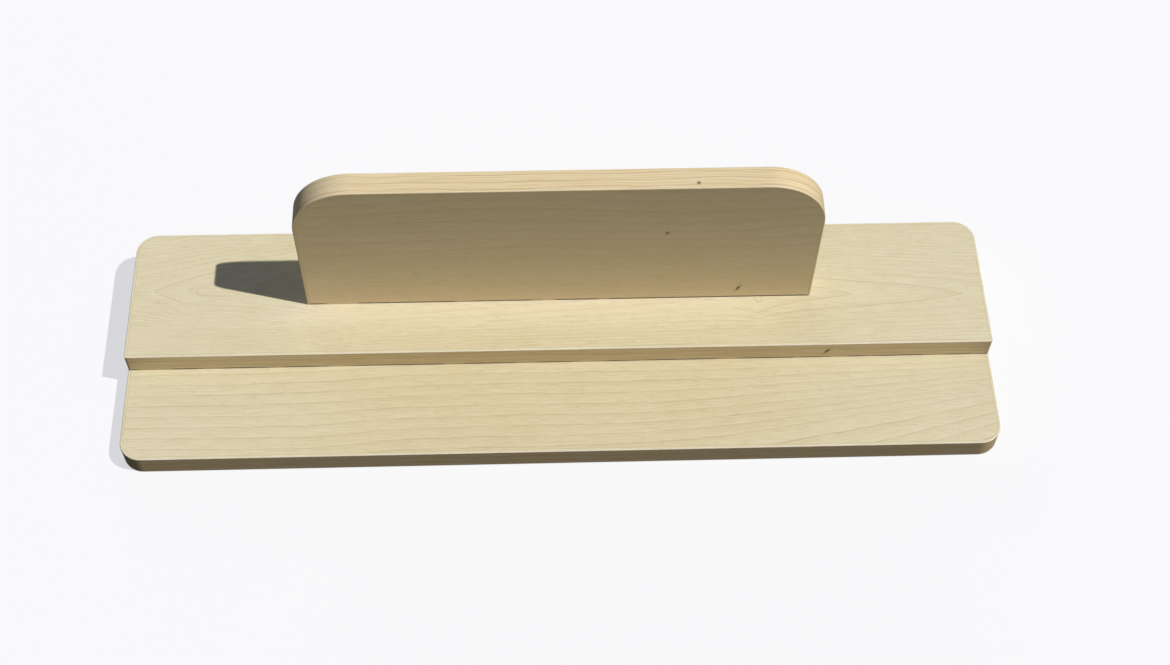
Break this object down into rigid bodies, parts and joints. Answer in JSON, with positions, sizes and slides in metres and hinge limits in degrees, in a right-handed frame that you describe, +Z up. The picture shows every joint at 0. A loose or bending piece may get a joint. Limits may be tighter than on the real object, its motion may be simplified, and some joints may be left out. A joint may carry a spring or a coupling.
{
  "type": "stepped wooden stand",
  "caption": "Low stepped stand of pale wood-effect board: a deck set back on a deeper base leaves a ledge in front, and a round-cornered upright board stands along the deck.",
  "frame": {"origin": "on the underside, in the middle of the base's length and depth", "axes": "+X along the boards, +Y from the ledge towards the back, +Z up out of the deck"},
  "size_m": [0.64, 0.185, 0.172],
  "materials": {
    "coated_board": "satin",
    "edge_band": "satin",
    "screw_steel": "satin",
    "dowel_wood": "matte"
  },
  "bodies": {
    "root": {"base_board": "coated_board", "base_edge_band": "edge_band", "deck_board": "coated_board", "deck_front_edge_band": "edge_band", "deck_rear_edge_band": "edge_band", "upright_board": "coated_board", "upright_edge_band": "edge_band", "base_screw_1": "screw_steel", "base_screw_2": "screw_steel", "base_screw_3": "screw_steel", "base_screw_4": "screw_steel", "base_screw_5": "screw_steel", "base_screw_6": "screw_steel", "upright_screw_1": "screw_steel", "upright_screw_2": "screw_steel", "upright_screw_3": "screw_steel", "dowel_1": "dowel_wood", "dowel_2": "dowel_wood"}
  },
  "joints": []
}
